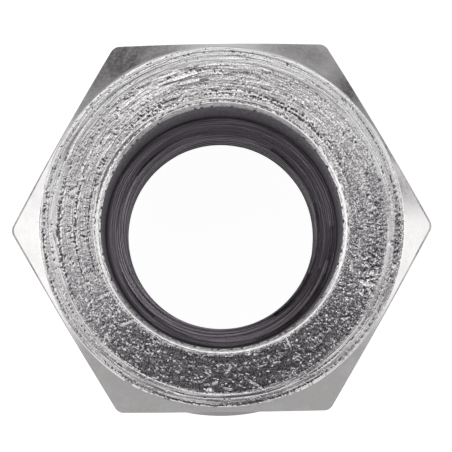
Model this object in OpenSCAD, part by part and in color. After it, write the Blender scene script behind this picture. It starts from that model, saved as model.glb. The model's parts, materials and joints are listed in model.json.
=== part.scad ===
/* [Hexagon] */
// Width across the flats, the spanner size
across_flats = 19; // [18:0.5:24]
// Radius along the six upright corners
corner_r = 0.5; // [0.2:0.1:1.5]
// Height of the hexagon, from its underside to its turned face
head_h = 8.1; // [6:0.1:12]
// Land left on each flat between the turned face and the flat
face_land = 0.14; // [0.05:0.01:0.6]
// Slope of the turned chamfer at the top corners, in degrees
top_chamfer_a = 42; // [25:1:50]
// Land left on each flat between the flat underside and the flat
under_land = 0.3; // [0.1:0.05:0.8]
// Slope of the turned chamfer at the bottom corners, in degrees
under_chamfer_a = 30; // [15:1:45]

/* [Cone] */
// Diameter of the base that bears on the clamped part
base_d = 20.2; // [18:0.2:26]
// Chamfer round the foot of the base
base_chamfer = 0.3; // [0.1:0.05:0.6]
// Height of the straight rim over the base
rim_h = 1.2; // [0.8:0.1:3]
// Height of the cone's top edge over the base
cone_h = 9.8; // [7:0.1:14]
// Diameter of the cone at its top edge
cone_top_d = 15.4; // [14.8:0.1:16.4]

/* [Shear neck] */
// Width of the groove between the cone and the hexagon
groove_w = 2.1; // [1.6:0.1:4]
// Wall left round the bore at the bottom of the groove
neck_wall = 0.7; // [0.4:0.05:0.9]
// Radius at the bottom of the groove
groove_r = 0.4; // [0.2:0.05:0.6]

/* [Bore and thread] */
// Outside diameter of the stud's thread
thread_d = 12; // [10:0.5:12]
// Height of the thread's ridges inside that diameter
thread_h = 0.8; // [0.5:0.05:1.2]
// Room round the stud in the hexagon's bore, on the diameter
bore_clearance = 0.5; // [0.2:0.1:0.8]
// Chamfer at the mouth of the bore
mouth_chamfer = 0.28; // [0.1:0.02:0.6]
// Depth of the bore's end under the middle of the groove
shoulder_drop = 0.25; // [0:0.05:0.8]
// Slope of the conical shoulder at the end of the bore, in degrees
shoulder_a = 45; // [20:1:60]
// Width by which the countersink in the base clears the thread
sink_clearance = 0.3; // [0.1:0.05:0.6]

/* [Hidden] */
$fn = 128;
// Steps along a rounded corner and along the round bottom of the groove
corner_steps = 8;
groove_steps = 6;
// Overlap by which a cut runs past the surface that it leaves through
past = 1;
// Heights of the stack, from the base up
groove_z = cone_h + groove_w / 2;
head_z = cone_h + groove_w;
total_h = head_z + head_h;
shoulder_z = groove_z - shoulder_drop;
// Diameters that follow from the stud
bore_d = thread_d + bore_clearance;
minor_d = thread_d - 2 * thread_h;
neck_d = bore_d + 2 * neck_wall;
sink_d = thread_d + 2 * sink_clearance;
// Heights of the cones that lead into the thread from both ends
shoulder_h = (bore_d - minor_d) / 2 * tan(shoulder_a);
sink_h = (sink_d - minor_d) / 2;
// Circles at which the turned chamfers of the hexagon start
face_r = across_flats / 2 - face_land;
under_r = across_flats / 2 - under_land;
// Reach of the hexagon's corners before they are rounded
corner_reach = across_flats / sqrt(3);

// Point at a distance and an angle from the middle
function polar(distance, angle) = [distance * cos(angle), distance * sin(angle)];

// Hexagon with rounded corners, two of them on the X axis
module rounded_hexagon() {
    arc_reach = (across_flats / 2 - corner_r) / cos(30);
    polygon([
        for (corner = [0:5], step = [0:corner_steps])
            polar(arc_reach, 60 * corner)
                + polar(corner_r, 60 * corner - 30 + 60 * step / corner_steps)
    ]);
}

// Half section of what the lathe leaves of the hexagon, with both chamfers
module head_turning() {
    top_fall = (corner_reach - face_r) * tan(top_chamfer_a);
    under_rise = (corner_reach - under_r) * tan(under_chamfer_a);
    polygon([
        [0, head_z],
        [under_r, head_z],
        [corner_reach, head_z + under_rise],
        [corner_reach, total_h - top_fall],
        [face_r, total_h],
        [0, total_h],
    ]);
}

// Round bottom of the groove: an arc that both flanks meet without an edge
function groove_bottom() =
    let (
        middle = [neck_d / 2 + groove_r, groove_z],
        out = cone_top_d / 2 - middle[0],
        up = groove_w / 2,
        flank_a = atan2(up, out) + acos(groove_r / norm([out, up])),
        sweep = 360 - 2 * flank_a
    )
    [for (step = [groove_steps:-1:0]) middle + polar(groove_r, flank_a + sweep * step / groove_steps)];

// Half section of the cone, the shear neck and the root of the hexagon
module cone_turning() {
    polygon(concat(
        [
            [0, 0],
            [base_d / 2 - base_chamfer, 0],
            [base_d / 2, base_chamfer],
            [base_d / 2, rim_h],
            [cone_top_d / 2, cone_h],
        ],
        groove_bottom(),
        [
            [cone_top_d / 2, head_z],
            [cone_top_d / 2, head_z + past],
            [0, head_z + past],
        ]
    ));
}

// Hexagonal head that the spanner drives until it shears off
module head() {
    intersection() {
        translate([0, 0, head_z])
            linear_extrude(head_h)
                rounded_hexagon();
        rotate_extrude()
            head_turning();
    }
}

// Cut for the threaded hole, the bore over it and their chamfers
module stud_hole() {
    translate([0, 0, -past])
        cylinder(d = minor_d, h = shoulder_z + 2 * past);
    translate([0, 0, -past])
        cylinder(d1 = sink_d + 2 * past, d2 = minor_d, h = sink_h + past);
    translate([0, 0, shoulder_z - shoulder_h])
        cylinder(d1 = minor_d, d2 = bore_d, h = shoulder_h);
    translate([0, 0, shoulder_z])
        cylinder(d = bore_d, h = total_h - shoulder_z + past);
    translate([0, 0, total_h - mouth_chamfer])
        cylinder(d1 = bore_d, d2 = bore_d + 2 * (mouth_chamfer + past), h = mouth_chamfer + past);
}

// The nut, turned in one piece: cone, shear neck and hexagon round one hole
module shear_nut() {
    color([0.72, 0.72, 0.73])
        difference() {
            union() {
                rotate_extrude()
                    cone_turning();
                head();
            }
            stud_hole();
        }
}

shear_nut();
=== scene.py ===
import json
import math

import bpy
import numpy as np
from mathutils import Matrix, Vector


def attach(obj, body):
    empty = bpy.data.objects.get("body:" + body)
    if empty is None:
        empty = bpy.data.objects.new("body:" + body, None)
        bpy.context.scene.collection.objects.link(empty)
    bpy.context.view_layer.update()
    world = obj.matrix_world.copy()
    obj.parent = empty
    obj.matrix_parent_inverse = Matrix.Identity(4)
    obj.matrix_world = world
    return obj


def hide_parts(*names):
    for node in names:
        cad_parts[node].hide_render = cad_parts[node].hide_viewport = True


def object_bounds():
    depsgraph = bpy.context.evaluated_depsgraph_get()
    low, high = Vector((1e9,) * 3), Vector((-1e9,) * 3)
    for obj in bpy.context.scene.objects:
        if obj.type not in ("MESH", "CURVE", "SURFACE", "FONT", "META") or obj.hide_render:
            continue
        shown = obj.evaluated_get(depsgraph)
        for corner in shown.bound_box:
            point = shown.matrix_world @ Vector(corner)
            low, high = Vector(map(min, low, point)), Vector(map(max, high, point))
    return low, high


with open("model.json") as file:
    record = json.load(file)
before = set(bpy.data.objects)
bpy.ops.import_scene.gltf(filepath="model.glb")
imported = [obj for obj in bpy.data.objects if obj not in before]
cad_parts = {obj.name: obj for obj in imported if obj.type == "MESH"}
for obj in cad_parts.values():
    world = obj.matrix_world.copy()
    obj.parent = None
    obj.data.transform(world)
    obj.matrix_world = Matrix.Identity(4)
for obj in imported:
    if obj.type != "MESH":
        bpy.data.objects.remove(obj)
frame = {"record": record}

# The nut is modelled in millimetres and scaled to metres at the end
MM = 0.001
FULL = 2 * math.pi
SIXTH = FULL / 6

# The CAD model's box gives the height and the base, and its mounts the hole
cad_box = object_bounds()
MOUNTS = {mount["name"]: mount for mount in frame["record"]["mounts"]}
TOP_Z = cad_box[1][2] / MM
BASE_R = cad_box[1][1] / MM
CREST_R = MOUNTS["stud_thread"]["dims"]["r_mm"]
BORE_R = MOUNTS["stud_bore"]["dims"]["r_mm"]

# Hexagon, as in the solid
FLAT_R = MOUNTS["spanner_flat"]["pos_m"][1] / MM
CORNER_R = 0.5
ARC_MIDDLE = (FLAT_R - CORNER_R) / math.cos(SIXTH / 2)
HEAD_Z = TOP_Z - 8.1
FACE_R = FLAT_R - 0.14
UNDER_R = FLAT_R - 0.3
TOP_SLOPE = math.radians(42)
UNDER_SLOPE = math.radians(30)
CHAMFER_ROWS = 10
FLAT_ROWS = 6
UNDER_ROWS = 4

# Places round the axis, here and below, are (strength, turn, spread), with both angles in degrees.
# Edges over and under the flats: the upper one is nearly sharp, but wide at two corners, and the
# chamfer's rows stop a little before it
WIDE_EDGES = ((1, 0, 24), (1, 180, 24))
EDGE_R = 0.04
WIDE_EDGE_R = 0.34
UNDER_EDGE_R = 0.15
EDGE_STEPS = 3
EDGE_GAP = 0.02
# Painted shade on the rounded edge under the chamfers, as a share of the stain colour
EDGE_SHADE = 0.92

# Cone, neck and groove, as in the solid, and their small roundings
CONE_Z = 9.8
CONE_R = 7.7
RIM_Z = 1.2
FOOT = 0.3
GROOVE_R = 0.4
NECK_R = BORE_R + 0.7
GROOVE_ROWS = 8
UNDERSIDE_RINGS = (8.6, 8.1)
ROOT_ROUND = 0.05
CONE_ROUND = 0.12
BASE_ROUND = 0.08

# Hole, as in the solid except for its mouth, where a burr leaves less of the chamfer
MOUTH = 0.235
MOUTH_R = BORE_R + MOUTH
MOUTH_SLOPE = math.radians(44.3)
# The mouth's rows as shares of its width, and the share that is straight: in general and at the top
MOUTH_SHARES = (0.25, 0.5, 0.6, 0.7, 0.8, 0.9, 1.0)
MOUTH_ROUND = 0.5
MOUTH_STRAIGHT = 0.92
# Painted highlight on the mouth's chamfer, towards +Y
MOUTH_GLINT = 0.8
BORE_ROWS = 10
BORE_CHIP = 0.03
SHOULDER_Z = 10.6
# Countersink in the base, and how far outside the thread's crests its plain part ends
SINK_R = 6.3
SINK_STOP = 0.9

# Thread that is cut in the hole, M12 x 1.75, and the turn at which it starts
PITCH = 1.75
ROOT_R = 6.0
FLANK_SLOPE = math.radians(30)
ROOT_SHARE = 0.125
THREAD_TURN = math.radians(-107)

# Painted shade in the hole: towards the corner of its shoulder, up the bore, and round its deep part
CORNER_WIDTH = 0.3
CORNER_HEIGHT = 2
WALL_SHADE = 0.62
BORE_SPECKS = 0.4
DEEP_SHADE = 0.42
DEEP_SHIFTS = ((-0.36, 185, 50), (0.33, 315, 28))

# Stains on the corner chamfers
STAINS = (
    (1.0, 118, 22),
    (1.0, 45, 13),
    (0.68, 66, 18),
    (0.95, 23, 8),
    (0.85, 13, 8),
    (0.08, 170, 6),
)

# Turned face: the torn ring, the smoother band outside it and the edge that rolls over
TORN_R = 8.5
TORN_BLEND = 0.1
BREAKS = ((1, -5, 24), (0.9, 180, 32))
BREAKS_START = (8.84, 8.98)
ROLL_R = 9.2
ROLL_FALL = 0.05
FACE_DROP = 0.012
FACE_ROWS = 50
RELIEF_R = 8
# The cutter left the face's edge off centre, by so many mm
FACE_SHIFTS = ((-0.13, 270, 60), (0.06, 180, 45), (0.04, 0, 30))
# Along the mouth: how ragged its edge is, the lip, the strip that isn't torn, and the finer rows
RAGGED = 0.045
LIP = 0.05
STRIP = 0.05
WIDER_STRIP = 0.14
STRIP_BLEND = 0.06
MOUTH_ROWS = 6
MOUTH_ROWS_SHARE = 0.08
# Where marks of the face and the mouth are plainest: turn and its spread in degrees
CLEAR_FEED = (110, 70)
LEAFY = (115, 60)
DASHED = (95, 130)
RIDGED = (110, 110)
SMOOTH_STRIP = (130, 85)
SHARP_ROLL = (270, 75)
STRAIGHT_MOUTH = (110, 65)
# Where the mouth's chamfer has its painted highlight
BRIGHT_MOUTH = (90, 60)

# Crown of the turned face, and the spacing, depths and widths of the marks on it
CROWN = math.radians(1.6)
WAVE_DEPTH = 0.002
FEED = 0.29
FEED_PEAK = 8.67
RING_DEPTH = 0.003
LEAF_DEPTH = 0.002
CHIP_DEPTH = 0.0005
PIT_DEPTH = 0.002
DEEP_PIT_DEPTH = 0.024
CRUMB_PIT_DEPTH = 0.013
DASH_DEPTH = 0.02
DASH_GAP = 0.04
DASH_WIDTH = 0.05
RIDGE_HEIGHT = 0.011
RIDGE_GAP = 0.15
RIDGE_WIDTH = 0.04
SCRATCHES = 36
SCRATCH_DEPTH = 0.014
SCORED_DEPTH = 0.02
# The plainest single marks on the face: x, y, direction in degrees, half length, half width, depth
MARKS = (
    (7.27, -2.90, -31, 0.25, 0.055, -0.03),
    (7.65, -3.02, 3, 0.20, 0.05, -0.03),
    (7.09, -3.40, -42, 0.20, 0.03, -0.02),
    (7.61, -3.37, -62, 0.30, 0.03, -0.02),
    (7.73, -2.39, 20, 0.09, 0.08, -0.03),
    (8.85, -2.08, 80, 0.10, 0.07, -0.03),
    (8.65, -0.90, 10, 0.10, 0.06, -0.03),
    (7.83, 0.95, 0, 0.10, 0.07, -0.03),
    (-0.76, -8.36, 80, 0.16, 0.08, -0.03),
    (-0.45, -7.95, 30, 0.16, 0.04, -0.02),
    (-5.20, 5.90, -60, 0.25, 0.05, -0.02),
    (-7.60, 2.05, 35, 0.25, 0.04, -0.02),
)
# Rings of crumbs: radius and half width in mm, turn and its spread in degrees, strength
RAGGED_RINGS = (
    (8.5, 0.06, 250, 150, 0.55),
    (8.8, 0.045, 250, 300, 0.45),
    (9.15, 0.08, 270, 75, 0.7),
    (9.08, 0.05, 90, 150, 0.45),
    (6.89, 0.05, 180, 35, 0.85),
    (7.56, 0.07, 185, 35, 0.75),
    (8.38, 0.09, 180, 30, 0.8),
    (9.2, 0.06, 185, 35, 0.65),
    (9.27, 0.04, 110, 80, 0.5),
    (9.07, 0.06, 28, 28, 0.65),
    (7.95, 0.07, 0, 25, 0.5),
    (8.98, 0.09, -5, 25, 0.6),
    (6.88, 0.05, 60, 75, 0.7),
    (7.06, 0.045, 50, 50, 0.6),
)
# Where the pits are deepest, given as the rings of crumbs are
PITTED = (
    (7.9, 0.55, -14, 9, 1),
    (8.1, 0.4, 4, 8, 1),
    (9.15, 0.15, -3, 14, 1),
    (8.9, 0.3, -40, 10, 1),
    (6.9, 0.25, 118, 14, 1),
)

# Finer marks of the turned face, in its material: the sides on which they change, in degrees,
# their spacing or cells a mm, their depths in mm, and the strengths of their painted shade and
# highlights
LEAFY_SIDE = 120
COARSE_SIDE = -15
CALM_SIDE = 45
SHINGLE_GAP = 0.16
SHINGLE_TURNS = 14
SHINGLE_DEPTH = 0.006
WANDER = 2
WANDER_DETAIL = 2
CRUMB_SCALE = 12.5
CRUMB_DEPTH = 0.0003
CRUMB_TONE = 0.8
COARSE_SHIFT = 0.045
CALM_SHIFT = 0.05
STREAK_SHIFT = 0.035
SPARKLE = 0.9
CALM_SPARKLE = 0.35
SPARK_GRAIN = 0.44
FLAKE_SCALE = 7
FLAKE_DEPTH = 0.013
LEFT_FLAKES = 0.08
GROOVE_DEPTH = 0.008
GROOVE_TONE = 0.85
SMOOTHEST = 0.12
ROUGHEST = 0.19
SMOOTH_ROUGHNESS = 0.11
# Depth of the chips in the mouth's chamfer, in its material
MOUTH_CHIPS = 0.004

# Points round the axis: a corner's arc and a flat have these many steps on the finest rings
ARC_STEPS = 16
FLAT_STEPS = 144
FINE = 1
MIDDLE = 2
COARSE = 4


def hexagon_reach(turn):
    """How far the rounded hexagon reaches from the axis at each angle."""
    corner = np.abs((turn + SIXTH / 2) % SIXTH - SIXTH / 2)
    under_root = CORNER_R**2 - (ARC_MIDDLE * np.sin(corner)) ** 2
    arc = ARC_MIDDLE * np.cos(corner) + np.sqrt(np.maximum(under_root, 0))
    flat = FLAT_R / np.cos(SIXTH / 2 - corner)
    return np.where(corner < arc_end(), arc, flat)


def arc_end():
    """Angle between a corner and the end of its rounding, seen from the axis."""
    out = ARC_MIDDLE + CORNER_R * math.cos(SIXTH / 2)
    return math.atan2(CORNER_R * math.sin(SIXTH / 2), out)


def ring_turns():
    """The finest ring's angles: closer together along the hexagon's corners."""
    arc = np.linspace(-arc_end(), arc_end(), ARC_STEPS, endpoint=False)
    flat = np.linspace(arc_end(), SIXTH - arc_end(), FLAT_STEPS, endpoint=False)
    side = np.concatenate([arc, flat])
    return np.concatenate([side + SIXTH * k for k in range(6)])


TURNS = ring_turns()


def cells(across, turn, across_cell, along_cell):
    """Cell coordinates of a pattern that closes round the axis, and its numbers of cells."""
    columns = max(4, round(FULL * RELIEF_R / along_cell))
    lowest = float(across.min())
    rows = int((float(across.max()) - lowest) / across_cell) + 3
    return (across - lowest) / across_cell, turn % FULL / FULL * columns, rows, columns


def noise(across, turn, across_cell, along_cell, seed):
    """Smooth noise from about -1 to 1. Its cells are in mm, across the turning marks and along."""
    u, v, rows, columns = cells(across, turn, across_cell, along_cell)
    tilt = np.random.default_rng(seed).uniform(0, FULL, (rows, columns))
    row = np.floor(u).astype(int)
    column = np.floor(v).astype(int)
    u = u - row
    v = v - column

    def slope(down, right):
        angle = tilt[row + down, (column + right) % columns]
        return np.cos(angle) * (u - down) + np.sin(angle) * (v - right)

    fade_u = u**3 * (u * (6 * u - 15) + 10)
    fade_v = v**3 * (v * (6 * v - 15) + 10)
    near = slope(0, 0) * (1 - fade_v) + slope(0, 1) * fade_v
    far = slope(1, 0) * (1 - fade_v) + slope(1, 1) * fade_v
    return 1.5 * (near * (1 - fade_u) + far * fade_u)


def noise_along(turn, along_cell, seed):
    """Noise that changes only round the axis."""
    return noise(np.zeros(turn.shape), turn, 1, along_cell, seed)


def chips(across, turn, across_cell, along_cell, seed):
    """Flat chips, each with a level and a tilt of its own, as torn metal leaves them."""
    u, v, rows, columns = cells(across, turn, across_cell, along_cell)
    rng = np.random.default_rng(seed)
    place_u, place_v = rng.uniform(0.15, 0.85, (2, rows + 2, columns))
    level, lean_u, lean_v = np.clip(rng.standard_t(2.5, (3, rows + 2, columns)), -5, 5) * 0.5
    row = np.floor(u).astype(int)
    column = np.floor(v).astype(int)
    nearest = np.full(u.shape, np.inf)
    height = np.zeros(u.shape)
    for down in (-1, 0, 1):
        for right in (-1, 0, 1):
            cell = (row + down + 1, (column + right) % columns)
            across_gap = u - row - down - place_u[cell]
            along_gap = v - column - right - place_v[cell]
            gap = across_gap**2 + along_gap**2
            chip = level[cell] + 2 * (lean_u[cell] * across_gap + lean_v[cell] * along_gap)
            height = np.where(gap < nearest, chip, height)
            nearest = np.minimum(gap, nearest)
    return height


def rise(value, low, high):
    """0 under low, 1 over high, and smooth between them."""
    share = np.clip((value - low) / (high - low), 0, 1)
    return share * share * (3 - 2 * share)


def bell(value, middle, half_width):
    """1 in the middle, fading to 0 on both sides of it."""
    return np.exp(-(((value - middle) / half_width) ** 2))


def towards(turn, degrees, width):
    """1 at an angle round the axis, fading to 0 over a width, both in degrees."""
    away = (turn - math.radians(degrees) + math.pi) % FULL - math.pi
    return bell(away, 0, math.radians(width))


def strongest(places, turn):
    """The strongest of some places round the axis, at each angle."""
    share = np.zeros(turn.shape)
    for strength, degrees, width in places:
        share = np.maximum(share, strength * towards(turn, degrees, width))
    return share


def shifted(value, shifts, turn):
    """A value with shifts at some places round the axis."""
    for shift, degrees, width in shifts:
        value = value + shift * towards(turn, degrees, width)
    return value


def patches(radius, turn, places):
    """How much a point lies in one of some patches, given as the rings of crumbs are."""
    share = np.zeros(radius.shape)
    for reach, half_width, degrees, width, strength in places:
        patch = strength * towards(turn, degrees, width) * bell(radius, reach, half_width)
        share = np.maximum(share, patch)
    return share


def stroke(x, y, side, half_length, half_width):
    """1 along a short straight stroke through x = y = 0, fading to 0 round it."""
    along = np.abs(x * math.cos(side) + y * math.sin(side)) / half_length
    across = (y * math.cos(side) - x * math.sin(side)) / half_width
    return np.exp(-across * across) * rise(1 - along, 0, 0.4)


def scratches(radius, turn, count, seed):
    """Depth of short straight scratches that lie any way round, from 0 to 1."""
    rng = np.random.default_rng(seed)
    x, y = radius * np.cos(turn), radius * np.sin(turn)
    depth = np.zeros(radius.shape)
    for _ in range(count):
        place, side = rng.uniform(0, FULL, 2)
        reach = rng.uniform(BORE_R + 0.4, ROLL_R)
        half_length = rng.uniform(0.12, 0.45)
        half_width = rng.uniform(0.025, 0.045)
        x_gap, y_gap = x - reach * math.cos(place), y - reach * math.sin(place)
        depth = np.maximum(depth, stroke(x_gap, y_gap, side, half_length, half_width))
    return depth


def single_marks(radius, turn):
    """Height of the plainest single marks, in mm."""
    x, y = radius * np.cos(turn), radius * np.sin(turn)
    height = np.zeros(radius.shape)
    for mark_x, mark_y, degrees, half_length, half_width, depth in MARKS:
        side = math.radians(degrees)
        height += depth * stroke(x - mark_x, y - mark_y, side, half_length, half_width)
    return height


class Skin:
    """Collects rings of points round the axis and joins them into one closed mesh.

    Each point carries two values for the materials: its tone and how torn it is. The tone is the
    chamfers' stains, painted shade on the face, edges and hole, and a painted highlight on the mouth.
    """

    def __init__(self):
        self.points = []
        self.faces = []
        self.looks = []
        self.tone = []
        self.torn = []

    def add(self, radius, turn, height, tone=0.0, torn=0.0):
        """Adds a point for each turn. The other values are one for all or one a point."""
        start = len(self.points)
        height, tone, torn = (np.broadcast_to(v, turn.shape) for v in (height, tone, torn))
        self.points.extend(zip(radius * np.cos(turn), radius * np.sin(turn), height))
        self.tone.extend(tone)
        self.torn.extend(torn)
        return np.arange(start, len(self.points))

    def ring(self, step, radius, height, tone=0.0, torn=0.0):
        """Adds one ring. Its step is FINE for all of the finest ring's turns, or skips some of them."""
        return self.add(radius, TURNS[::step], height, tone, torn)

    def face(self, corners, look):
        """Adds one face, without corners that fall together."""
        kept = [c for k, c in enumerate(corners) if c != corners[k - 1]]
        if len(set(kept)) == len(kept) and len(kept) > 2:
            self.faces.append(kept)
            self.looks.append(look)

    def join(self, inner, outer, look):
        """Joins two rings of as many points, or of which one has twice as many."""
        n, m = len(inner), len(outer)
        a, b = np.roll(inner, -1), np.roll(outer, -1)
        if n == m:
            for quad in zip(inner, outer, b, a):
                self.face(quad, look)
        elif n > m:
            for k in range(m):
                one, two, three = inner[2 * k], inner[2 * k + 1], inner[(2 * k + 2) % n]
                self.face((one, outer[k], two), look)
                self.face((two, outer[k], b[k]), look)
                self.face((two, b[k], three), look)
        else:
            for k in range(n):
                one, two, three = outer[2 * k], outer[2 * k + 1], outer[(2 * k + 2) % m]
                self.face((inner[k], one, two), look)
                self.face((inner[k], two, a[k]), look)
                self.face((a[k], two, three), look)

    def chain(self, rings, look):
        """Joins rings one after another."""
        for one, two in zip(rings, rings[1:]):
            self.join(one, two, look)
        return rings[-1]


def rounding(corner, before, after, radius, steps):
    """Points of a fillet at a corner of the section, between the directions before and after it."""
    before = np.array(before) / np.hypot(*before)
    after = np.array(after) / np.hypot(*after)
    bend = math.acos(float(np.clip(before @ after, -1, 1)))
    side = math.copysign(1.0, before[0] * after[1] - before[1] * after[0])
    start = np.array(corner, float) - before * radius * math.tan(bend / 2)
    inward = side * np.array([-before[1], before[0]])
    middle = start + inward * radius
    points = []
    for k in range(steps + 1):
        angle = side * bend * k / steps
        spoke = -inward * radius
        turned = (
            spoke[0] * math.cos(angle) - spoke[1] * math.sin(angle),
            spoke[0] * math.sin(angle) + spoke[1] * math.cos(angle),
        )
        points.append(middle + turned)
    return points


def section(corners, steps=3):
    """A section line as (radius, height) points, from (radius, height, fillet, parts) corners.

    Parts is how many pieces the stretch after a corner is cut into.
    """
    line = []
    for k, (r, z, fillet, parts) in enumerate(corners):
        here = np.array([r, z], float)
        if fillet and 0 < k < len(corners) - 1:
            back = here - np.array(corners[k - 1][:2])
            ahead = np.array(corners[k + 1][:2]) - here
            line.extend(rounding(here, back, ahead, fillet, steps))
        else:
            line.append(here)
        if k < len(corners) - 1 and parts > 1:
            start = line[-1]
            end = np.array(corners[k + 1][:2], float)
            line.extend(start + (end - start) * j / parts for j in range(1, parts))
    return line


# Looks, in the order of the mesh's material slots
FACE, CHAMFER, MOUTH_BAND, FLAT, CONE, BORE, SHOULDER, THREAD = range(8)

skin = Skin()


def feed_marks(radius, turn):
    """Height of the cutter's widest rings, in mm. They are clearest outside the torn ring."""
    outside = rise(radius, TORN_R - TORN_BLEND, TORN_R + TORN_BLEND)
    clear = 0.5 + 0.5 * np.maximum(outside, 0.6 * towards(turn, *CLEAR_FEED))
    wide = rise(noise(radius, turn, 0.07, 2.5, 12), 0.15, 0.5)
    waver = 0.03 * noise(radius, turn, 0.5, 3, 13)
    wave = np.cos(FULL * (radius + waver - FEED_PEAK) / FEED)
    return clear * (WAVE_DEPTH * outside * wave - RING_DEPTH * wide)


def torn_share(radius, turn):
    """How torn the face is: fully inside the smoother band, and here and there in it."""
    edge = TORN_R + 0.06 * noise(radius, turn, 0.5, 1.5, 20)
    torn = 1 - rise(radius - edge, -0.05, 0.05)
    breaks = strongest(BREAKS, turn)
    breaks *= rise(radius + 0.08 * noise(radius, turn, 0.3, 0.8, 28), *BREAKS_START)
    blotches = 0.15 + 0.45 * rise(noise(radius, turn, 0.2, 2.5, 24), -0.2, 0.4)
    return np.maximum(torn, np.maximum(breaks, blotches))


def torn_marks(radius, turn):
    """Height of the larger torn scales and pits, in mm, and the painted shade in the pits."""
    leafy = towards(turn, *LEAFY)
    leaves = noise(radius, turn - 0.35 * radius, 0.14, 0.9, 25)
    scales = chips(radius, turn - 0.06 * radius, 0.11, 0.15, 21)
    pits = noise(radius, turn - 0.1 * radius, 0.1, 0.14, 22)
    deep = 0.5 * rise(noise(radius, turn, 0.3, 1.1, 23), 0.1, 0.5)
    deep = np.maximum(deep, patches(radius, turn, PITTED))
    pits = rise(pits, 0.3 - 0.25 * deep, 0.55 - 0.25 * deep)
    height = LEAF_DEPTH * leafy * leaves + CHIP_DEPTH * (1 - 0.5 * leafy) * scales
    height -= (PIT_DEPTH + (DEEP_PIT_DEPTH - PIT_DEPTH) * deep) * pits
    return height, pits * (0.3 + 0.7 * deep)


def mouth_edge(turn):
    """Ragged circle in which the mouth's chamfer meets the turned face."""
    ragged = noise_along(turn, 0.35, 31) + 0.6 * noise_along(turn, 0.13, 32)
    return MOUTH_R + RAGGED * ragged


def edge_marks(radius, turn):
    """Height of the dashes and the ridge along the mouth and of the rings of crumbs, in mm.

    Also gives the painted shade in the dashes and the crumbs.
    """
    ragged = noise_along(turn, 0.55, 33) + 0.5 * noise_along(turn, 0.2, 34)
    dashes = (0.25 + 0.75 * towards(turn, *DASHED)) * rise(ragged, -0.5, 0.1)
    ridges = towards(turn, *RIDGED) * rise(ragged, -0.7, 0)
    from_mouth = radius - mouth_edge(turn)
    groove = dashes * bell(from_mouth, DASH_GAP, DASH_WIDTH)
    ridge = ridges * bell(from_mouth, RIDGE_GAP, RIDGE_WIDTH)
    waver = 0.02 * noise(radius, turn, 0.5, 1.2, 35)
    crumbled = patches(radius + waver, turn, RAGGED_RINGS)
    grain = noise(radius, turn, 0.08, 0.12, 36) + 0.6 * noise(radius, turn, 0.15, 0.6, 37)
    crumbs = rise(0.45 * grain + crumbled, 0.4, 0.65)
    height = RIDGE_HEIGHT * ridge - DASH_DEPTH * groove - CRUMB_PIT_DEPTH * crumbs
    return height, np.maximum(groove, crumbs)


def face_edge(turn):
    """Circle in which the turned face meets the corner chamfers."""
    return shifted(FACE_R, FACE_SHIFTS, turn)


def roll_fall(turn):
    """How far the face's edge rolls down, in mm. It stays sharp on one side."""
    return ROLL_FALL * (1 - 0.95 * rise(towards(turn, *SHARP_ROLL), 0, 0.7))


def face_relief(radius, turn):
    """Height of the turned face against the nut's top, in mm, its painted shade and how torn it is."""
    edge = face_edge(turn)
    from_mouth = radius - mouth_edge(turn)
    torn = torn_share(radius, turn)
    marks, dark = torn_marks(radius, turn)
    edges, edge_dark = edge_marks(radius, turn)
    single = single_marks(radius, turn)
    scored = scratches(radius, turn, SCRATCHES, 41)
    scored = scored * rise(radius, TORN_R + TORN_BLEND, TORN_R - TORN_BLEND)
    scored = np.maximum(scored, np.minimum(-single / SCORED_DEPTH, 1))
    height = feed_marks(radius, turn) + torn * marks + edges + single - SCRATCH_DEPTH * scored
    lip = (from_mouth / LIP).clip(0, 1)
    inside = np.minimum(lip, (edge - radius) / LIP).clip(0, 1)
    roll = roll_fall(turn) * 2 * rise(radius - edge, ROLL_R - FACE_R, FACE_R - ROLL_R)
    crown = (radius - MOUTH_R) * math.tan(CROWN) * (FACE_R - MOUTH_R) / (edge - MOUTH_R)
    height = np.minimum(height * inside - FACE_DROP * lip, 0) - roll - crown
    dark = np.maximum(torn * dark * (1 - scored), edge_dark)
    strip = STRIP + WIDER_STRIP * towards(turn, *SMOOTH_STRIP)
    torn = torn * rise(from_mouth, strip, strip + STRIP_BLEND)
    return height, dark, torn * (1 - scored)


def turned_face(mouth_ring):
    """The flat end of the hexagon, from the bore's mouth to the corner chamfers."""
    near = np.linspace(0, MOUTH_ROWS_SHARE, MOUTH_ROWS + 1)[1:]
    far = np.linspace(MOUTH_ROWS_SHARE, 1, FACE_ROWS - MOUTH_ROWS + 1)[1:]
    share, turn = np.meshgrid(np.concatenate([near, far]), TURNS, indexing="ij")
    radius = mouth_edge(turn) * (1 - share) + face_edge(turn) * share
    height, dark, torn = face_relief(radius, turn)
    rings = [mouth_ring]
    for k in range(FACE_ROWS):
        rings.append(skin.ring(FINE, radius[k], TOP_Z + height[k], dark[k], torn[k]))
    return skin.chain(rings, FACE)


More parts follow.
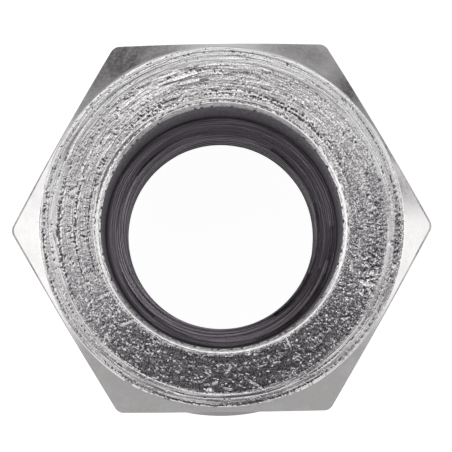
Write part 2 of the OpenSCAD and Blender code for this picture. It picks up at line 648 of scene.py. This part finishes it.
def corner_chamfers(face_ring):
    """The corner chamfers and the edges under them, and the height at which the flats start."""
    turn = TURNS[::MIDDLE]
    reach = hexagon_reach(turn)
    stain = strongest(STAINS, turn)
    edge_r = EDGE_R + (WIDE_EDGE_R - EDGE_R) * strongest(WIDE_EDGES, turn)
    tangent = edge_r * math.tan((math.pi / 2 - TOP_SLOPE) / 2)
    fall = math.tan(TOP_SLOPE)
    start = face_edge(turn)
    start_z = TOP_Z - FACE_DROP - roll_fall(turn) - (FACE_R - MOUTH_R) * math.tan(CROWN)
    edge_z = start_z - (reach - start) * fall
    end = reach - tangent * math.cos(TOP_SLOPE) - EDGE_GAP
    end_z = edge_z + tangent * math.sin(TOP_SLOPE) + EDGE_GAP * fall
    rings = [face_ring]
    for k in range(1, CHAMFER_ROWS + 1):
        share = k / CHAMFER_ROWS
        height = start_z + (end_z - start_z) * share
        rings.append(skin.ring(MIDDLE, start + (end - start) * share, height, stain))
    out = (math.cos(TOP_SLOPE), -math.sin(TOP_SLOPE))
    # The rounded edge under the chamfer, with painted shade
    for r, z in rounding((0, 0), out, (0, -1), 1, EDGE_STEPS):
        rings.append(skin.ring(MIDDLE, reach + edge_r * r, edge_z + edge_r * z, EDGE_SHADE))
    return skin.chain(rings, CHAMFER), edge_z - tangent


def flats(edge_ring, top_z):
    """The flats and the chamfers under them, down to the underside."""
    reach = hexagon_reach(TURNS[::COARSE])
    top_z = top_z[:: COARSE // MIDDLE]
    climb = math.tan(UNDER_SLOPE)
    tangent = UNDER_EDGE_R * math.tan((math.pi / 2 - UNDER_SLOPE) / 2)
    edge_z = HEAD_Z + (reach - UNDER_R) * climb
    rings = [edge_ring]
    for k in range(1, FLAT_ROWS + 1):
        height = top_z + (edge_z + tangent - top_z) * k / FLAT_ROWS
        rings.append(skin.ring(COARSE, reach, height))
    rings = [skin.chain(rings, FLAT)]
    back = (-math.cos(UNDER_SLOPE), -math.sin(UNDER_SLOPE))
    for r, z in rounding((0, 0), (0, -1), back, UNDER_EDGE_R, EDGE_STEPS)[1:]:
        rings.append(skin.ring(COARSE, reach + r, edge_z + z))
    start = reach - tangent * math.cos(UNDER_SLOPE)
    for k in range(1, UNDER_ROWS + 1):
        radius = start + (UNDER_R - start) * k / UNDER_ROWS
        rings.append(skin.ring(COARSE, radius, HEAD_Z + (radius - UNDER_R) * climb))
    return skin.chain(rings, CONE)


def groove_points():
    """Section of the round bottom of the groove, from its upper flank to its lower one."""
    up = (HEAD_Z - CONE_Z) / 2
    middle = np.array([NECK_R + GROOVE_R, CONE_Z + up])
    out = CONE_R - middle[0]
    flank = math.atan2(up, out) + math.acos(GROOVE_R / math.hypot(up, out))
    sweep = FULL - 2 * flank
    angles = [flank + sweep * k / GROOVE_ROWS for k in range(GROOVE_ROWS + 1)]
    return [middle + GROOVE_R * np.array([math.cos(a), math.sin(a)]) for a in angles]


def cone_side(under_ring):
    """The hexagon's underside, the groove, the cone, the rim and the base, and its last height."""
    groove = groove_points()
    line = [(r, HEAD_Z) for r in UNDERSIDE_RINGS]
    root = (CONE_R, HEAD_Z, ROOT_ROUND, 1)
    line += section([(*line[-1], 0, 1), root, (*groove[0], 0, 1)])[1:]
    line += groove[1:]
    line += section(
        [
            (*groove[-1], 0, 1),
            (CONE_R, CONE_Z, CONE_ROUND, 10),
            (BASE_R, RIM_Z, CONE_ROUND, 2),
            (BASE_R, FOOT, BASE_ROUND, 1),
            (BASE_R - FOOT, 0, BASE_ROUND, 8),
            (SINK_R, 0, BASE_ROUND, 2),
            (CREST_R + SINK_STOP, SINK_R - CREST_R - SINK_STOP, 0, 1),
        ]
    )[1:]
    rings = [under_ring]
    rings += [skin.ring(COARSE, float(r), float(z)) for r, z in line]
    return skin.chain(rings, CONE), float(line[-1][1])


def hole_radius(height, radius):
    """Wall of the hole: the thread's radius, or the cones that lead into it where they are wider."""
    shoulder = CREST_R + height - (SHOULDER_Z - (BORE_R - CREST_R))
    sink = SINK_R - height
    return np.maximum(radius, np.maximum(shoulder, sink))


def thread_section():
    """Rows of one pitch as (share of the pitch, radius), with the crest first."""
    depth = ROOT_R - CREST_R
    flank = depth * math.tan(FLANK_SLOPE) / PITCH
    crest = 1 - ROOT_SHARE - 2 * flank
    back = crest + flank + ROOT_SHARE
    rows = [(crest * k / 3, CREST_R) for k in range(3)]
    rows += [(crest + flank * k / 3, CREST_R + depth * k / 3) for k in range(3)]
    rows += [(crest + flank, ROOT_R), (crest + flank + ROOT_SHARE / 2, ROOT_R)]
    rows += [(back + flank * k / 3, ROOT_R - depth * k / 3) for k in range(3)]
    return rows


def thread(low_ring, low_z, high_ring, high_z):
    """The helical thread between two rings.

    Its rows climb round the axis, and where they pass an end they run into its ring.
    """
    rows = thread_section()
    count = len(rows)
    turn = TURNS[::COARSE]
    climb = PITCH * ((turn - THREAD_TURN) / FULL)
    first = math.floor((low_z - climb.max()) / PITCH) - 1
    last = math.ceil((high_z - climb.min()) / PITCH) + 1
    grid = []
    # Points of the shoulder's cone, which has a look of its own
    plain = set(high_ring.tolist())
    for k in range(first * count, last * count):
        share, radius = rows[k % count]
        height = (k // count + share) * PITCH + climb
        index = np.where(height <= low_z, low_ring, high_ring)
        inside = (height > low_z) & (height < high_z)
        if inside.any():
            wall = hole_radius(height, radius)[inside]
            # Painted shade towards the shoulder's corner and round the deep part
            tone = rise(wall, BORE_R - CORNER_WIDTH, BORE_R)
            tone = np.maximum(tone, shifted(DEEP_SHADE, DEEP_SHIFTS, turn[inside]))
            added = skin.add(wall, turn[inside], height[inside], tone)
            index[inside] = added
            plain.update(added[(height[inside] > SINK_R) & (wall > radius + 1e-6)].tolist())
        grid.append(index)

    def patch(*corners):
        corners = [int(c) for c in corners]
        skin.face(corners, SHOULDER if plain.issuperset(corners) else THREAD)

    for k in range(len(grid) - 1):
        below, above = grid[k], grid[k + 1]
        for i in range(len(turn) - 1):
            patch(below[i], above[i], above[i + 1], below[i + 1])
        # Where the turn closes, the rows meet those of one pitch up
        if k + count + 1 < len(grid):
            patch(below[-1], above[-1], grid[k + count + 1][0], grid[k + count][0])


def mouth_drop(share, turn):
    """How far the mouth's chamfer lies under the face, in its own widths.

    It is straight, and then rounds over until it is level.
    """
    more = (MOUTH_STRAIGHT - MOUTH_ROUND) * towards(turn, *STRAIGHT_MOUTH)
    straight = MOUTH_ROUND + more
    level = (1 - straight) / 2 * ((1 - share) / (1 - straight)) ** 2
    drop = np.where(share < straight, straight - share + (1 - straight) / 2, level)
    return math.tan(MOUTH_SLOPE) * drop


def bore():
    """The clearance bore from its shoulder to its mouth, and the mouth's chamfer."""
    # Painted shade: full at the shoulder's corner, fading up the bore's wall
    low = skin.ring(COARSE, BORE_R, SHOULDER_Z, 1.0)
    rings = [low]
    for k in range(1, BORE_ROWS):
        z = SHOULDER_Z + (TOP_Z - MOUTH - SHOULDER_Z) * k / BORE_ROWS
        corner = rise(SHOULDER_Z + CORNER_HEIGHT - z, 0, CORNER_HEIGHT)
        wall = WALL_SHADE * (1 - (k / BORE_ROWS) ** 1.5)
        rings.append(skin.ring(MIDDLE, BORE_R, z, max(corner, wall)))
    chipped = BORE_CHIP * noise_along(TURNS, 0.22, 38).clip(0, 1)
    rings.append(skin.ring(FINE, BORE_R + chipped, TOP_Z - MOUTH * mouth_drop(0, TURNS)))
    rings = [skin.chain(rings, BORE)]
    ragged = mouth_edge(TURNS) - MOUTH_R
    # Painted highlight on the mouth's chamfer, strongest towards +Y
    bright = MOUTH_GLINT * towards(TURNS, *BRIGHT_MOUTH)
    for share in MOUTH_SHARES:
        radius = BORE_R + MOUTH * share + ragged * share**4
        height = TOP_Z - MOUTH * mouth_drop(share, TURNS)
        rings.append(skin.ring(FINE, radius, height, bright * rise(share, 1, 0.9)))
    return low, skin.chain(rings, MOUTH_BAND)


def build_nut():
    """All surfaces of the nut, as one closed mesh."""
    shoulder_ring, mouth_ring = bore()
    face_ring = turned_face(mouth_ring)
    under_ring = flats(*corner_chamfers(face_ring))
    sink_ring, sink_z = cone_side(under_ring)
    thread(sink_ring, sink_z, shoulder_ring, SHOULDER_Z)
    mesh = bpy.data.meshes.new("nut_skin")
    points = np.array(skin.points) * MM
    mesh.from_pydata(points.tolist(), [], [[int(c) for c in f] for f in skin.faces])
    for name, values in (("tone", skin.tone), ("torn", skin.torn)):
        attribute = mesh.attributes.new(name, "FLOAT", "POINT")
        attribute.data.foreach_set("value", np.array(values, np.float32))
    mesh.polygons.foreach_set("material_index", np.array(skin.looks, np.int32))
    mesh.polygons.foreach_set("use_smooth", np.ones(len(skin.faces), bool))
    mesh.update()
    mesh.validate(verbose=True)
    mesh.set_sharp_from_angle(angle=math.radians(40))
    nut = bpy.data.objects.new("steel_nut", mesh)
    bpy.context.scene.collection.objects.link(nut)
    return nut


def direction(azimuth, elevation=0):
    """Unit vector from angles in degrees; azimuth runs from +X towards +Y."""
    a, e = math.radians(azimuth), math.radians(elevation)
    return (math.cos(e) * math.cos(a), math.cos(e) * math.sin(a), math.sin(e))


class Tree:
    """The nodes of a material or of the world."""

    def __init__(self, owner):
        owner.use_nodes = True
        self.nodes = owner.node_tree.nodes
        self.links = owner.node_tree.links

    def node(self, kind, result, inputs, **settings):
        """Adds a node, sets or links its inputs, and returns the named output."""
        node = self.nodes.new("ShaderNode" + kind)
        for name, value in settings.items():
            setattr(node, name, value)
        for name, value in inputs.items():
            if isinstance(value, bpy.types.NodeSocket):
                self.links.new(value, node.inputs[name])
            else:
                node.inputs[name].default_value = value
        return node.outputs[result]

    def end(self, kind, surface):
        """Adds the output node."""
        out = self.nodes.new("ShaderNodeOutput" + kind)
        self.links.new(surface, out.inputs["Surface"])

    def math(self, operation, a, b):
        return self.node("Math", 0, {0: a, 1: b}, operation=operation)

    def plus(self, a, b):
        return self.math("ADD", a, b)

    def less(self, a, b):
        return self.math("SUBTRACT", a, b)

    def times(self, a, b):
        return self.math("MULTIPLY", a, b)

    def dot(self, one, other):
        return self.node("VectorMath", "Value", {0: one, 1: other}, operation="DOT_PRODUCT")

    def ramp(self, value, low, high, to_low=0.0, to_high=1.0):
        """Maps low and high to two other values, and smoothly what lies between."""
        ends = {"From Min": low, "From Max": high, "To Min": to_low, "To Max": to_high}
        return self.node("MapRange", 0, {"Value": value, **ends}, interpolation_type="SMOOTHSTEP")

    def mix(self, share, *colours):
        """One colour where the share is 0, and the other where it is 1."""
        one, other = (c if isinstance(c, bpy.types.NodeSocket) else (*c, 1) for c in colours)
        return self.node("Mix", 2, {"Factor": share, 6: one, 7: other}, data_type="RGBA")


class Shade(Tree):
    """One procedural steel."""

    def __init__(self, name):
        self.material = bpy.data.materials.new(name)
        super().__init__(self.material)
        self.shader = self.nodes["Principled BSDF"]
        self.shader.inputs["Metallic"].default_value = 1.0
        place = self.node("TexCoord", "Object", {})
        self.place = self.node("VectorMath", "Vector", {0: place, "Scale": 1 / MM}, operation="SCALE")

    def attribute(self, name):
        """A value that the mesh carries at its points."""
        return self.node("Attribute", "Fac", {}, attribute_name=name)

    def coordinate(self, axis):
        """The place along an axis, in mm."""
        return self.node("SeparateXYZ", axis, {0: self.place})

    def stretched(self, *by):
        """The place with its coordinates multiplied."""
        return self.node("VectorMath", "Vector", {0: self.place, 1: by}, operation="MULTIPLY")

    def radius(self):
        """Distance from the axis, in mm."""
        return self.node("VectorMath", "Value", {0: self.stretched(1, 1, 0)}, operation="LENGTH")

    def side(self, degrees, *ends):
        """A ramp across the nut, towards a turn in degrees and between two distances in mm."""
        return self.ramp(self.dot(self.place, direction(degrees)), *ends)

    def round_marks(self, across_r, across_z, along, twist=0.0):
        """Place for a noise whose marks run round the axis.

        Across them it has so many cells a mm, on the face and on a wall, and along them so many a
        radian. They turn outwards by so many radians a mm.
        """
        radius = self.radius()
        turned = {"Vector": self.stretched(1, 1, 0), "Angle": self.times(radius, twist)}
        flat = self.node("VectorRotate", 0, turned, rotation_type="Z_AXIS")
        spoke = self.node("VectorMath", "Vector", {0: flat}, operation="NORMALIZE")
        spoke = self.node("VectorMath", "Vector", {0: spoke, "Scale": along}, operation="SCALE")
        across = self.times(self.coordinate("Z"), across_z)
        across = self.plus(self.times(radius, across_r), across)
        across = self.node("CombineXYZ", 0, {"Z": across})
        return self.node("VectorMath", "Vector", {0: spoke, 1: across}, operation="ADD")

    def noise(self, place, scale=1.0, detail=2.0, low=None, high=1.0):
        """Noise, stretched so that low and high become 0 and 1 if they are given."""
        value = self.node("TexNoise", 0, {"Vector": place, "Scale": scale, "Detail": detail})
        return value if low is None else self.ramp(value, low, high)

    def bump(self, height, depth_mm, below=None):
        """Adds relief of a depth, over the relief of an earlier bump."""
        inputs = {"Height": height, "Distance": depth_mm * MM, "Strength": 1.0}
        if below:
            inputs["Normal"] = below
        return self.node("Bump", 0, inputs)

    def finish(self, colour, roughness, normal):
        self.links.new(colour, self.shader.inputs["Base Color"])
        self.links.new(roughness, self.shader.inputs["Roughness"])
        self.links.new(normal, self.shader.inputs["Normal"])
        return self.material


# Colours of bare steel, from clean to stained, and of painted highlights and painted shade
BRIGHT = (0.78, 0.775, 0.765)
# Painted highlight: the shingles' light strips, the face's sparks and the mouth's chamfer towards +Y
GLINT = (0.97, 0.965, 0.955)
CALM_STEEL = (0.55, 0.545, 0.545)
CLEAN = (0.79, 0.776, 0.77)
STEEL = (0.62, 0.615, 0.615)
# Colour of stains, and of the painted shade along the edges under the corner chamfers
STAIN_AND_SHADE = (0.15, 0.138, 0.15)
# Painted shade in the face's pits, dashes, crumbs and grooves and at the shingles' steps
FACE_SHADE_COLOUR = (0.13, 0.118, 0.13)
SIDE_DARK = (0.40, 0.395, 0.40)
SIDE_LIGHT = (0.52, 0.515, 0.515)
# Colours of the hole, unmarked and marked, and of its specks and of the painted shade in it
BORE_DARK = (0.29, 0.255, 0.307)
BORE_LIGHT = (0.51, 0.464, 0.534)
SHOULDER_DARK = (0.55, 0.50, 0.565)
SHOULDER_LIGHT = (0.86, 0.81, 0.87)
THREAD_DARK = (0.30, 0.275, 0.305)
THREAD_LIGHT = (0.50, 0.47, 0.505)
SPECK_AND_SHADE_COLOUR = (0.10, 0.09, 0.10)


def shingles(shade):
    """Overlapping scales that the cutter tore up round the axis.

    Gives the saw profile across them, the thin lines of painted shade at its steps and the strips of
    painted highlight after those, all from 0 to 1.
    """
    wander = shade.noise(shade.round_marks(2.6, 0, 3, 0.02), 1, WANDER_DETAIL, 0, 1)
    turn = shade.math("ARCTAN2", shade.coordinate("Y"), shade.coordinate("X"))
    rows = shade.math("DIVIDE", shade.radius(), SHINGLE_GAP)
    rows = shade.plus(rows, shade.times(turn, SHINGLE_TURNS / FULL))
    rows = shade.plus(rows, shade.times(wander, WANDER))
    saw = shade.math("FRACT", rows, 0)
    breaks = shade.noise(shade.round_marks(4, 0, 5, 0.02), 1, 3, 0.34, 0.46)
    line = shade.times(shade.ramp(saw, 0.78, 0.97), breaks)
    return saw, line, shade.times(shade.ramp(saw, 0.35, 0.1), breaks)


def coarseness(shade, calm, streak):
    """How far the torn face's grain is shifted towards crumbs and flakes."""
    blotches = shade.noise(shade.place, 1.3, 2, 0.3, 0.7)
    coarse = shade.times(shade.plus(blotches, shade.side(COARSE_SIDE, 2, 8)), COARSE_SHIFT)
    coarse = shade.less(coarse, shade.times(calm, CALM_SHIFT))
    return shade.plus(coarse, shade.ramp(streak, 0, 1, STREAK_SHIFT, -STREAK_SHIFT))


def turned_face_steel():
    """The torn face: shingles and crumbs where it is torn, and fine rings in the smoother band."""
    shade = Shade("turned_face_steel")
    torn = shade.attribute("torn")
    smooth = shade.less(1, torn)
    leafy = shade.side(LEAFY_SIDE, -3, 5)
    leaves = shade.times(shade.ramp(torn, 0, 1, 0.55, 1), leafy)
    rough = shade.times(torn, shade.less(1, shade.times(leafy, 0.5)))
    calm = shade.times(shade.side(CALM_SIDE, 2, 7), shade.less(1, leafy))

    saw, step_shade, glint = shingles(shade)
    streak = shade.noise(shade.round_marks(4, 0, 1.5), 1, 4, 0.35, 0.65)
    fine = shade.noise(shade.round_marks(11, 0, 14), 1, 2, 0.4, 0.6)
    rings = shade.noise(shade.round_marks(10, 0, 1.2, 0.004), 1, 3)
    coarse = coarseness(shade, calm, streak)
    grain = shade.noise(shade.place, CRUMB_SCALE, 2)
    crumbs = shade.times(shade.ramp(shade.plus(grain, coarse), 0.46, 0.56), rough)
    left = shade.ramp(shade.coordinate("X"), -2, -8, 0, LEFT_FLAKES)
    flakes = shade.plus(shade.noise(shade.round_marks(FLAKE_SCALE, 0, 38), 1, 1), coarse)
    flakes = shade.ramp(shade.plus(flakes, left), 0.64, 0.8)
    # Painted highlights: sparks in the grain, more towards 45 degrees and fewer where the face is calm
    lit = shade.side(CALM_SIDE, -3, 3, 0, SPARKLE)
    lit = shade.times(lit, shade.ramp(calm, 0, 1, 1, CALM_SPARKLE))
    sparks = shade.times(shade.ramp(grain, SPARK_GRAIN, SPARK_GRAIN - 0.08), lit)

    # Painted shade: in the mesh's pits and dashes, at the shingles' steps, in the crumbs and the
    # grooves
    frayed = shade.ramp(shade.noise(shade.place, 9, 3), 0.3, 0.7, -0.45, 0.45)
    dark = shade.ramp(shade.plus(shade.attribute("tone"), frayed), 0.3, 0.7)
    dark = shade.math("MAXIMUM", dark, shade.times(step_shade, leaves))
    dark = shade.math("MAXIMUM", dark, shade.times(crumbs, CRUMB_TONE))
    grooves = shade.times(shade.ramp(rings, 0.46, 0.39), smooth)
    grooves = shade.times(grooves, shade.ramp(leafy, 0, 1, 0.4, 1))
    dark = shade.math("MAXIMUM", dark, shade.times(grooves, GROOVE_TONE))
    colour = shade.mix(shade.times(shade.plus(streak, fine), 0.5), STEEL, BRIGHT)
    colour = shade.mix(shade.times(calm, torn), colour, CALM_STEEL)
    # Painted highlights after the shingles' steps and in the grain
    colour = shade.mix(shade.times(glint, leaves), colour, GLINT)
    colour = shade.mix(shade.times(sparks, torn), colour, GLINT)
    colour = shade.mix(dark, colour, FACE_SHADE_COLOUR)
    roughness = shade.ramp(streak, 0, 1, ROUGHEST, SMOOTHEST)
    roughness = shade.plus(roughness, shade.times(smooth, SMOOTH_ROUGHNESS))
    normal = shade.bump(shade.times(shade.ramp(rings, 0.4, 0.62), smooth), GROOVE_DEPTH)
    normal = shade.bump(crumbs, -CRUMB_DEPTH, normal)
    normal = shade.bump(shade.times(flakes, rough), FLAKE_DEPTH, normal)
    normal = shade.bump(shade.times(saw, leaves), SHINGLE_DEPTH, normal)
    return shade.finish(colour, roughness, normal)


def chamfer_steel():
    """The corner chamfers: smooth and bright, with faint turning lines, cloudy stains and painted shade
    on the edges under them.
    """
    shade = Shade("chamfer_steel")
    lines = shade.noise(shade.round_marks(6, 6, 5, 0.05), 1, 3, 0.3, 0.7)
    clouds = shade.noise(shade.place, 1.1, 3, 0.4, 0.7)
    mottle = shade.noise(shade.place, 6, 6, 0.4, 0.64)
    patchy = shade.times(shade.ramp(mottle, 0, 1, 1.0, 0.8), shade.ramp(lines, 0, 1, 1.0, 0.68))
    cloudy = shade.plus(shade.times(clouds, 0.3), shade.times(mottle, 0.18))
    colour = shade.mix(cloudy, CLEAN, STEEL)
    # Stains, and painted shade along the edges under the chamfers
    colour = shade.mix(shade.times(shade.attribute("tone"), patchy), colour, STAIN_AND_SHADE)
    roughness = shade.ramp(clouds, 0, 1, 0.14, 0.2)
    normal = shade.bump(lines, 0.0008)
    return shade.finish(colour, roughness, normal)


def mouth_steel():
    """The chamfer of the bore's mouth: cut bright and chipped, with a painted highlight towards +Y."""
    shade = Shade("mouth_steel")
    lines = shade.noise(shade.round_marks(12, 12, 3), 1, 2, 0.3, 0.7)
    chipped = shade.noise(shade.round_marks(7, 7, 30), 1, 3, 0.35, 0.65)
    colour = shade.mix(chipped, STEEL, BRIGHT)
    # Painted highlight, from the mesh's tone
    colour = shade.mix(shade.attribute("tone"), colour, GLINT)
    roughness = shade.ramp(chipped, 0, 1, 0.26, 0.14)
    normal = shade.bump(lines, 0.001)
    normal = shade.bump(chipped, MOUTH_CHIPS, normal)
    return shade.finish(colour, roughness, normal)


def drawn_steel():
    """The flats, as drawn bar: faint lines along the axis."""
    shade = Shade("drawn_steel")
    lines = shade.noise(shade.stretched(7, 7, 0.25), 1, 3, 0.3, 0.7)
    clouds = shade.noise(shade.place, 0.35, 6, 0.3, 0.7)
    colour = shade.mix(lines, SIDE_DARK, SIDE_LIGHT)
    colour = shade.mix(shade.ramp(clouds, 0, 1, 0, 0.3), colour, STAIN_AND_SHADE)
    roughness = shade.ramp(clouds, 0, 1, 0.26, 0.36)
    normal = shade.bump(lines, 0.002)
    return shade.finish(colour, roughness, normal)


def turned_side_steel():
    """The cone, groove, rim and base: even feed lines of a turning tool."""
    shade = Shade("turned_side_steel")
    feed = shade.noise(shade.round_marks(6, 6, 0.6), 1, 1, 0.3, 0.7)
    streak = shade.noise(shade.round_marks(14, 14, 4), 1, 3, 0.3, 0.7)
    clouds = shade.noise(shade.place, 0.3, 6, 0.3, 0.7)
    colour = shade.mix(streak, SIDE_DARK, SIDE_LIGHT)
    colour = shade.mix(shade.ramp(clouds, 0, 1, 0, 0.25), colour, STAIN_AND_SHADE)
    roughness = shade.ramp(streak, 0, 1, 0.24, 0.34)
    normal = shade.bump(feed, 0.005)
    normal = shade.bump(streak, 0.001, normal)
    return shade.finish(colour, roughness, normal)


def dark_steel(name, colour, marked, rough, smooth, speckled=0):
    """The hole: duller steel with rings that the drill left, and painted shade that is darkest in its
    corner.
    """
    shade = Shade(name)
    rings = shade.noise(shade.round_marks(9, 4, 0.9), 1, 3, 0.35, 0.7)
    grain = shade.noise(shade.place, 7, 3, 0.3, 0.7)
    specks = shade.noise(shade.stretched(6, 6, 0.6), 1, 3, 0.35, 0.65)
    colour = shade.mix(rings, colour, marked)
    colour = shade.mix(shade.ramp(specks, 0, 1, 0, speckled), colour, SPECK_AND_SHADE_COLOUR)
    # Painted shade, from the mesh's tone
    colour = shade.mix(shade.attribute("tone"), colour, SPECK_AND_SHADE_COLOUR)
    roughness = shade.ramp(grain, 0, 1, smooth, rough)
    normal = shade.bump(rings, 0.012)
    normal = shade.bump(grain, 0.0015, normal)
    return shade.finish(colour, roughness, normal)


nut = build_nut()
for material in (
    turned_face_steel(),
    chamfer_steel(),
    mouth_steel(),
    drawn_steel(),
    turned_side_steel(),
    dark_steel("bored_steel", BORE_DARK, BORE_LIGHT, 0.7, 0.55, BORE_SPECKS),
    dark_steel("drilled_steel", SHOULDER_DARK, SHOULDER_LIGHT, 0.55, 0.45),
    dark_steel("threaded_steel", THREAD_DARK, THREAD_LIGHT, 0.5, 0.35),
):
    nut.data.materials.append(material)
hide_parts("shear_nut")
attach(nut, "root")

# Stage: half the floor's width in metres, and how far it lies under the base, in mm, so that the two
# don't share one plane
FLOOR_HALF = 1.5
FLOOR_GAP = 0.01
FLOOR_GREY = (0.2, 0.2, 0.2, 1)
FLOOR_GLOW = 0.96
# Painted shadow in reflections: how bright the floor mirrors at the base's edge. It is 1 from so many
# times the base's radius out
MIRRORED_SHADOW_GLOW = 0.4
CONTACT_REACH = 3


def white_floor():
    """White to the camera and, with a painted shadow round the base, in reflections; lit a little to
    keep the shadow.
    """
    material = bpy.data.materials.new("white_floor")
    tree = Tree(material)
    tree.nodes.clear()
    path = tree.nodes.new("ShaderNodeLightPath").outputs
    place = tree.node("TexCoord", "Object", {})
    gap = tree.node("VectorMath", "Value", {0: place}, operation="LENGTH")
    ends = {"From Min": BASE_R * MM, "From Max": CONTACT_REACH * BASE_R * MM, "To Min": MIRRORED_SHADOW_GLOW}
    mirrored = tree.times(path["Is Glossy Ray"], tree.node("MapRange", 0, {"Value": gap, **ends}))
    seen = tree.plus(tree.plus(path["Is Camera Ray"], mirrored), path["Is Transmission Ray"])
    glow = tree.node("Emission", 0, {"Strength": tree.times(seen, FLOOR_GLOW)})
    lit = tree.node("BsdfDiffuse", 0, {"Color": FLOOR_GREY})
    tree.end("Material", tree.node("AddShader", 0, {0: glow, 1: lit}))
    return material


floor_mesh = bpy.data.meshes.new("floor")
floor_corners = [
    (x * FLOOR_HALF, y * FLOOR_HALF, -FLOOR_GAP * MM)
    for x, y in ((-1, -1), (1, -1), (1, 1), (-1, 1))
]
floor_mesh.from_pydata(floor_corners, [], [(0, 1, 2, 3)])
floor_mesh.materials.append(white_floor())
floor = bpy.data.objects.new("floor", floor_mesh)
bpy.context.scene.collection.objects.link(floor)

# Soft boxes of the studio: azimuth, elevation, inner and outer half width in degrees, brightness
SOFT_BOXES = (
    (180, 6, 18, 42, 0.86),
    (0, 6, 14, 38, 0.8),
    (90, 14, 12, 32, 0.28),
    (90, 66, 12, 40, 0.24),
    (180, 60, 10, 40, 0.16),
    (0, 90, 25, 65, 0.48),
)
ROOM = 0.43
# Ring of light: elevations at which it starts, is full, starts to end and ends, and brightness
LIGHT_RING = (16, 30, 55, 68, 0.42)
# The camera and its stand mirror in the nut as a dark patch, given as a soft box is
LENS_DISC = (275, 76, 13, 17.5, 0.9)
LENS_TINT = (0.9, 0.8, 0.95)


def studio_world():
    """A dim grey room with soft boxes in fixed directions, and white to the camera."""
    world = bpy.data.worlds.new("studio")
    bpy.context.scene.world = world
    tree = Tree(world)
    tree.nodes.clear()
    where = tree.node("TexCoord", "Generated", {})

    def lobe(azimuth, elevation, inner, outer, brightness):
        """A round light in a direction, which fades out between its half widths."""
        cosine = tree.dot(where, direction(azimuth, elevation))
        edge, full = math.cos(math.radians(outer)), math.cos(math.radians(inner))
        return tree.ramp(cosine, edge, full, 0, brightness)

    def band(low, full, high, end, brightness):
        """A light all round, between two elevations."""
        height = tree.node("SeparateXYZ", "Z", {0: where})
        low, full, high, end = (math.sin(math.radians(e)) for e in (low, full, high, end))
        both = tree.times(tree.ramp(height, low, full), tree.ramp(height, end, high))
        return tree.times(both, brightness)

    level = tree.plus(ROOM, band(*LIGHT_RING))
    for box in SOFT_BOXES:
        level = tree.plus(lobe(*box), level)
    disc = lobe(*LENS_DISC)
    seen = tree.node("LightPath", "Is Camera Ray", {})
    unseen = tree.less(1.0, seen)
    level = tree.times(tree.times(level, tree.less(1.0, disc)), unseen)
    tint = tree.mix(tree.times(disc, unseen), (1, 1, 1), LENS_TINT)
    lights = {"Color": tint, "Strength": tree.plus(level, seen)}
    tree.end("World", tree.node("Background", 0, lights))


studio_world()

# Camera: over the nut and a little to the lower left of its axis, so that the far end of the hole
# shows off centre. The face's middle lies 4.2 px left and 1.5 px under the picture's
FRAME_PX = 452
FOCAL_PX = 3713
FACE_PX_PER_MM = 19.44
CAMERA = np.array([-0.7, -5.48, TOP_Z + 191.0])
AIM = np.array([4.2 / FACE_PX_PER_MM, 1.5 / FACE_PX_PER_MM, TOP_Z])
ROLL = math.radians(0.7)
SENSOR = 36


def photo_camera():
    """The camera of the photograph: a long lens that looks down the nut's axis."""
    lens = bpy.data.cameras.new("photo_camera")
    lens.sensor_width = SENSOR
    lens.lens = SENSOR * FOCAL_PX / FRAME_PX
    lens.clip_start = 0.01
    camera = bpy.data.objects.new("photo_camera", lens)
    back = Vector(CAMERA - AIM).normalized()
    up = Vector((math.sin(ROLL), math.cos(ROLL), 0))
    right = up.cross(back).normalized()
    up = back.cross(right)
    turn = Matrix((right, up, back)).transposed().to_4x4()
    camera.matrix_world = Matrix.Translation(Vector(CAMERA) * MM) @ turn
    bpy.context.scene.collection.objects.link(camera)
    bpy.context.scene.camera = camera


photo_camera()
bpy.context.scene.view_settings.view_transform = "Standard"
